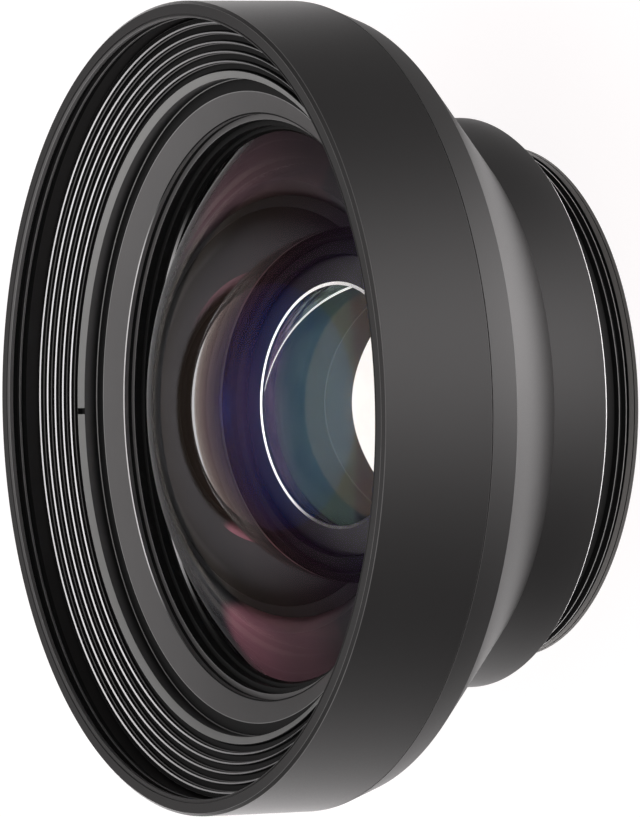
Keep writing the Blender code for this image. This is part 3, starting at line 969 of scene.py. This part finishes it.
# %% Inner rings
spacer_corners = [
    (19.25, 16.23, 0.04),
    (23.2, 16.23, 0.05),
    (23.2, 19.73, 0.05),
    (16.15, 19.73, 0.0),
    (16.15, 18.57, 0.04),
    (17.7, 18.57, 0.0),
    (17.7, 17.4, 0.04),
    (19.25, 17.4, 0.0),
]
as_piece(spun(section(spacer_corners)), "spacer", [DEEP_METAL], "matt_black", "spacer_ring")

cell_corners = [
    (12.95, 20.12, 0.0),
    (13.30, 20.03, 0.0),
    (23.2, 20.03, 0.1),
    (23.2, 27.03, 0.1),
    (16.0, 27.03, 0.05),
    (16.0, 24.55, 0.0),
    (14.4, 24.55, 0.0),
    (14.4, 20.53, 0.0),
    (13.6, 20.53, 0.0),
    (12.95, 20.3, 0.0),
]
cell_shape = spun(section(cell_corners))
paint(
    cell_shape,
    1,
    lambda radius, depth, inward, up: radius < 13.29 and depth < 20.11 and 0.9 < up < 0.995,
)
paint(cell_shape, 2, lambda radius, depth, inward, up: radius < 13.62 and depth > 20.11)
CELL_LIP = anodised(
    "bare_cell_lip",
    neutral(0.9),
    neutral(0.9),
    neutral(0.9),
    roughness=0.25, marks=0.9, grain=0.2,
)
lay_bare(CELL_LIP)


def lip_highlight_sectors(material):
    """Painted highlight: the lip is bright over the sectors where its arc shows, and nearly black
    over about a third of the way round.
    """
    tree = material.node_tree
    _, angle, _ = round_axis(tree)
    bright = maths(
        tree,
        "MAXIMUM",
        ramp(tree, angle, radians(-135), radians(-100), 1.0, 0.08),
        ramp(tree, angle, radians(20), radians(60)),
    )
    colour = blend(tree, (0.02, 0.02, 0.02), (1.0, 1.0, 1.0), bright)
    tree.links.new(colour, tree.nodes["Principled BSDF"].inputs["Base Color"])


# Painted highlight: the lip is bright only over the sectors where its arc shows.
lip_highlight_sectors(CELL_LIP)
as_piece(cell_shape, "cell", [CELL_METAL, CELL_LIP, DEEP_METAL], "matt_black", "rear_cell")

rear_ring_corners = [
    (13.2, 24.85, 0.1),
    (15.7, 24.85, 0.05),
    (15.7, 26.65, 0.1),
    (13.2, 26.65, 0.1),
]
as_piece(
    spun(section(rear_ring_corners)), "rear_ring", [DEEP_METAL], "matt_black", "rear_retaining_ring"
)

plate_corners = [(12.9, 32.8, 0.03), (22.0, 32.8, 0.1), (22.0, 33.6, 0.1), (12.38, 33.6, 0.03)]
as_piece(spun(section(plate_corners)), "window_plate", [CONE_METAL], "matt_black", "rear_plate")

# %% [markdown]
# ## The mount ring and its thread
# The rear ring carries a fine male thread. The ring is turned as the others, down to the root of
# the thread. The thread itself is one small pointed cross-section, spun with a rise for each step
# so that it climbs as a screw does.

# %% Mount ring with thread
mount_corners = [
    (17.5, 27.33, 0.05),
    (23.2, 27.33, 0.1),
    (23.2, 30.5, 0.0),
    (23.9, 30.5, 0.05),
    (23.9, 31.3, 0.0),
    (24.05, 31.45, 0.0),
    (24.05, 34.1, 0.0),
    (24.48, 34.16, 0.02),
    (24.48, 34.68, 0.0),
    (24.38, 34.72, 0.0),
    (24.48, 34.78, 0.0),
    (24.48, 35.13, 0.0),
    (24.41, 35.2, 0.0),
    (22.3, 35.2, 0.06),
    (22.3, 32.5, 0.0),
    (21.5, 32.5, 0.05),
    (21.5, 28.83, 0.0),
    (17.5, 28.83, 0.05),
]
mount_shape = spun(section(mount_corners))

THREAD_PITCH = 0.75
THREAD_STEPS = 144
THREAD_ROOT, THREAD_CREST = 23.98, 24.49
THREAD_START, THREAD_END = 32.7, 34.2


def thread_ridge(first, last):
    """A closed ridge of V section that climbs round the ring between two depths."""
    ridge = bmesh.new()
    base = at(last)
    points = [
        ridge.verts.new((-radius * MM, 0.0, base + offset * MM))
        for radius, offset in (
            (THREAD_ROOT, -0.33),
            (THREAD_CREST, -0.045),
            (THREAD_CREST, 0.045),
            (THREAD_ROOT, 0.33),
        )
    ]
    ridge.faces.new(points)
    turns = (last - first) / THREAD_PITCH
    bmesh.ops.spin(
        ridge,
        geom=list(ridge.verts) + list(ridge.edges) + list(ridge.faces),
        cent=(0, 0, 0),
        axis=(0, 0, 1),
        dvec=(0, 0, THREAD_PITCH * MM / THREAD_STEPS),
        angle=2 * pi * turns,
        steps=int(THREAD_STEPS * turns),
        use_merge=False,
        use_normal_flip=False,
        use_duplicate=False,
    )
    bmesh.ops.remove_doubles(ridge, verts=ridge.verts, dist=1e-8)
    bmesh.ops.recalc_face_normals(ridge, faces=ridge.faces)
    return ridge


thread_mesh = bpy.data.meshes.new("thread_ridge")
thread_shape = thread_ridge(THREAD_START, THREAD_END)
thread_heights = [v.co.z / MM for v in thread_shape.verts]
print(f"thread from {min(thread_heights):.2f} to {max(thread_heights):.2f} mm above the rear end")
thread_shape.to_mesh(thread_mesh)
thread_shape.free()
mount_shape.from_mesh(thread_mesh)
paint(mount_shape, 1, lambda radius, depth, inward, up: radius < 22.4 and inward > 0.5)
paint(mount_shape, 2, lambda radius, depth, inward, up: radius > 23.9 and depth < 34.15)
paint(mount_shape, 3, lambda radius, depth, inward, up: radius > 24.45 and depth < 34.15)
paint(
    mount_shape,
    1,
    lambda radius, depth, inward, up: radius > 24.44 and depth > 34.15 and inward < -0.9,
)
LEAD_METAL = anodised(
    "rear_lead_band",
    (0.145, 0.138, 0.133),
    (0.18, 0.17, 0.164),
    neutral(0.1),
    roughness=0.6, marks=0.5, grain=0.5, specular=0.15,
)
as_piece(
    mount_shape,
    "mount",
    [OUTER_METAL, LEAD_METAL, DEEP_METAL, BAND_METAL],
    "anodised_body",
    "mount_ring",
)

# %% [markdown]
# ## Hidden trim
# The shim and the three screws stay as the model has them. They only get their finishes.

# %% Finishes for the pieces that stay
BRASS = anodised(
    "shim_brass_sheet",
    (0.45, 0.32, 0.12),
    (0.55, 0.40, 0.16),
    (0.7, 0.5, 0.25),
    roughness=0.35,
)
lay_bare(BRASS)
STEEL = anodised(
    "blackened_screw_steel",
    (0.06, 0.06, 0.065),
    (0.09, 0.09, 0.095),
    neutral(0.2),
    roughness=0.3,
)
lay_bare(STEEL)
for name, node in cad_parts.items():
    if name == "front_shim":
        node.data.materials.clear()
        node.data.materials.append(BRASS)
    if name.startswith("mount_screw"):
        node.data.materials.clear()
        node.data.materials.append(STEEL)

# %% [markdown]
# ## Floor and light
# The floor and the room are white, a little warm. Matt metal is lit by a dimmer light, stronger on
# one side, and by one soft lamp above, so that the dark metal keeps its depth. What a mirror ray or
# a ray through glass sees is set apart from that and is uneven, as in a studio: a bright tongue of
# floor in front, light behind the lens and under its neck, one wide soft light high at the back,
# and less light low in the room. The camera sees the floor's white mostly as its own brightness and
# in part as lit paper, which keeps the shadow of the lens.

# %% Floor, room and lamps
CAMERA_WHITE, CAMERA_SHARE = 1.27, 0.75
WARM_WHITE = (1.0, 0.97, 0.972, 1.0)


def seen_brightness(tree, through_strength, mirrored):
    """A mask of camera, glass and mirror rays, and the brightness that each kind of ray sees."""
    path = tree.nodes.new("ShaderNodeLightPath")
    first = path.outputs["Is Camera Ray"]
    glossy = path.outputs["Is Glossy Ray"]
    glass = path.outputs["Is Transmission Ray"]
    through = maths(tree, "MAXIMUM", first, glass)
    part = maths(tree, "MULTIPLY", maths(tree, "SUBTRACT", through, first), through_strength)
    reflected = maths(tree, "MULTIPLY", glossy, mirrored)
    direct = maths(tree, "MULTIPLY", first, CAMERA_WHITE)
    brightness = maths(tree, "ADD", direct, maths(tree, "MAXIMUM", part, reflected))
    indirect = maths(tree, "MAXIMUM", glossy, glass)
    seen = maths(tree, "MAXIMUM", indirect, maths(tree, "MULTIPLY", first, CAMERA_SHARE))
    return seen, brightness


def floor_brightness(tree):
    """What polished metal sees in the floor: a bright tongue in front and light under the neck."""
    radius, angle, _ = round_axis(tree)
    offset = maths(tree, "DIVIDE", maths(tree, "SUBTRACT", angle, radians(14)), radians(29))
    tongue = bell(tree, square(tree, offset))
    tongue = maths(tree, "MULTIPLY", tongue, ramp(tree, radius, 0.024, 0.040, 0.5, 2.4))
    behind = ramp(tree, maths(tree, "ABSOLUTE", angle), radians(95), radians(165), 0.24, 1.8)
    base = maths(tree, "ADD", behind, ramp(tree, angle, radians(-110), radians(-45), 0.62, 0.0))
    base = maths(tree, "MULTIPLY", base, ramp(tree, radius, 0.022, 0.038, 0.1, 1.35))
    near = ramp(tree, radius, 0.022, 0.034, 3.3, 0.0)
    under = maths(tree, "MULTIPLY", near, ramp(tree, radius, 0.0215, 0.0245, 0.0, 1.0))
    return maths(tree, "ADD", maths(tree, "ADD", base, tongue), under)


floor_shape = bmesh.new()
bmesh.ops.create_grid(floor_shape, x_segments=1, y_segments=1, size=6.0)
floor_mesh = bpy.data.meshes.new("floor")
floor_shape.to_mesh(floor_mesh)
floor_shape.free()
floor = bpy.data.objects.new("floor", floor_mesh)
bpy.context.scene.collection.objects.link(floor)
paper = bpy.data.materials.new("white_paper")
paper.use_nodes = True
paper.cycles.emission_sampling = "NONE"
tree = paper.node_tree
paper_shader = tree.nodes["Principled BSDF"]
paper_shader.inputs["Base Color"].default_value = (0.8, 0.8, 0.8, 1.0)
paper_shader.inputs["Roughness"].default_value = 0.9
white = tree.nodes.new("ShaderNodeEmission")
white.inputs["Color"].default_value = WARM_WHITE
mix = tree.nodes.new("ShaderNodeMixShader")
mask, brightness = seen_brightness(tree, 1.12, floor_brightness(tree))
tree.links.new(brightness, white.inputs["Strength"])
tree.links.new(mask, mix.inputs[0])
tree.links.new(paper_shader.outputs[0], mix.inputs[1])
tree.links.new(white.outputs[0], mix.inputs[2])
tree.links.new(mix.outputs[0], tree.nodes["Material Output"].inputs["Surface"])
floor_mesh.materials.append(paper)

BACK_LIGHT = Vector((-0.56, 0.0, 0.83))


def room_brightness(tree):
    """What metal and glass see in the room: dimmer low down, with a soft light high at the back."""
    place = tree.nodes.new("ShaderNodeTexCoord")
    split = tree.nodes.new("ShaderNodeSeparateXYZ")
    tree.links.new(place.outputs["Generated"], split.inputs[0])
    across = maths(tree, "DIVIDE", split.outputs["Y"], 0.25)
    rise = maths(
        tree,
        "ADD",
        maths(tree, "MULTIPLY", split.outputs["X"], BACK_LIGHT.z),
        maths(tree, "MULTIPLY", split.outputs["Z"], -BACK_LIGHT.x),
    )
    rise = maths(tree, "DIVIDE", rise, 0.15)
    lobe = bell(tree, maths(tree, "ADD", square(tree, across), square(tree, rise)))
    lobe = maths(tree, "MULTIPLY", lobe, ramp(tree, split.outputs["Z"], 0.0, 0.3, 0.0, 2.2))
    low = ramp(tree, split.outputs["Z"], 0.35, 0.85, 0.22, 1.0)
    front = ramp(tree, split.outputs["X"], 0.0, 0.5, 0.0, 0.3)
    through = ramp(tree, split.outputs["Z"], 0.2, 0.6, 0.7, 1.35)
    return maths(tree, "ADD", lobe, maths(tree, "ADD", low, front)), through


world = bpy.data.worlds.new("white_room")
bpy.context.scene.world = world
world.use_nodes = True
sky = world.node_tree
dim = sky.nodes["Background"]
dim.inputs["Color"].default_value = (1.0, 1.0, 1.0, 1.0)
way = sky.nodes.new("ShaderNodeTexCoord")
parts = sky.nodes.new("ShaderNodeSeparateXYZ")
sky.links.new(way.outputs["Generated"], parts.inputs[0])
sky.links.new(ramp(sky, parts.outputs["Y"], -0.6, 0.6, 1.0, 0.06), dim.inputs["Strength"])
bright = sky.nodes.new("ShaderNodeBackground")
bright.inputs["Color"].default_value = WARM_WHITE
choice = sky.nodes.new("ShaderNodeMixShader")
in_metal, in_glass = room_brightness(sky)
mask, brightness = seen_brightness(sky, in_glass, in_metal)
sky.links.new(brightness, bright.inputs["Strength"])
sky.links.new(mask, choice.inputs[0])
sky.links.new(dim.outputs[0], choice.inputs[1])
sky.links.new(bright.outputs[0], choice.inputs[2])
sky.links.new(choice.outputs[0], sky.nodes["World Output"].inputs["Surface"])

key_data = bpy.data.lights.new("top_light", "AREA")
key_data.size = 0.6
key_data.energy = 1.0
key_light = bpy.data.objects.new("top_light", key_data)
key_light.location = (-0.2, 0.1, 0.9)
key_light.rotation_euler = (-key_light.location).to_track_quat("-Z", "Y").to_euler()
key_light.visible_camera = False
key_light.visible_glossy = False
key_light.visible_transmission = False
bpy.context.scene.collection.objects.link(key_light)

# %% [markdown]
# ## Camera
# The camera looks down on the front glass from the side, and is rolled so that the rear end points
# to the right of the picture. Its place comes from one pinhole camera fitted to the measured
# circles.

# %% Camera
FOCAL_PIXELS = 9000.0
AXIS_TILT, AXIS_ROLL = 1.069716, -0.0225778
RIM_CENTRE = Vector((-0.33282, 0.00063, 22.0632)) * 38.4 * MM


def photograph_camera():
    """The camera that sees the front rim at RIM_CENTRE and the axis tilted by the fitted angles."""
    axis = Vector(
        (sin(AXIS_TILT) * cos(AXIS_ROLL), sin(AXIS_TILT) * sin(AXIS_ROLL), cos(AXIS_TILT))
    )
    across = Vector((-sin(AXIS_ROLL), cos(AXIS_ROLL), 0.0))
    side = across.cross(axis).normalized()
    turn = Matrix((side, (-axis).cross(side), -axis))
    place = turn @ -RIM_CENTRE + Vector((0, 0, LENGTH * MM))
    right, down, ahead = (turn @ Vector(way) for way in ((1, 0, 0), (0, 1, 0), (0, 0, 1)))
    data = bpy.data.cameras.new("photograph_camera")
    data.sensor_width = 36.0
    data.lens = FOCAL_PIXELS / 817 * 36.0
    data.clip_start, data.clip_end = 0.01, 100.0
    camera = bpy.data.objects.new("photograph_camera", data)
    bpy.context.scene.collection.objects.link(camera)
    columns = Matrix((right, -down, -ahead)).transposed().to_4x4()
    camera.matrix_world = Matrix.Translation(place) @ columns
    bpy.context.scene.camera = camera
    heading = degrees(atan2(place.y, place.x))
    rise = degrees(atan2(place.z, Vector((place.x, place.y)).length))
    print(f"camera {place.length:.3f} m away, {rise:.1f} degrees up, {heading:.1f} degrees round")


photograph_camera()

# %% [markdown]
# ## Finish
# The colours are shown as they are written.

# %% Finish
bpy.context.scene.view_settings.view_transform = "Standard"
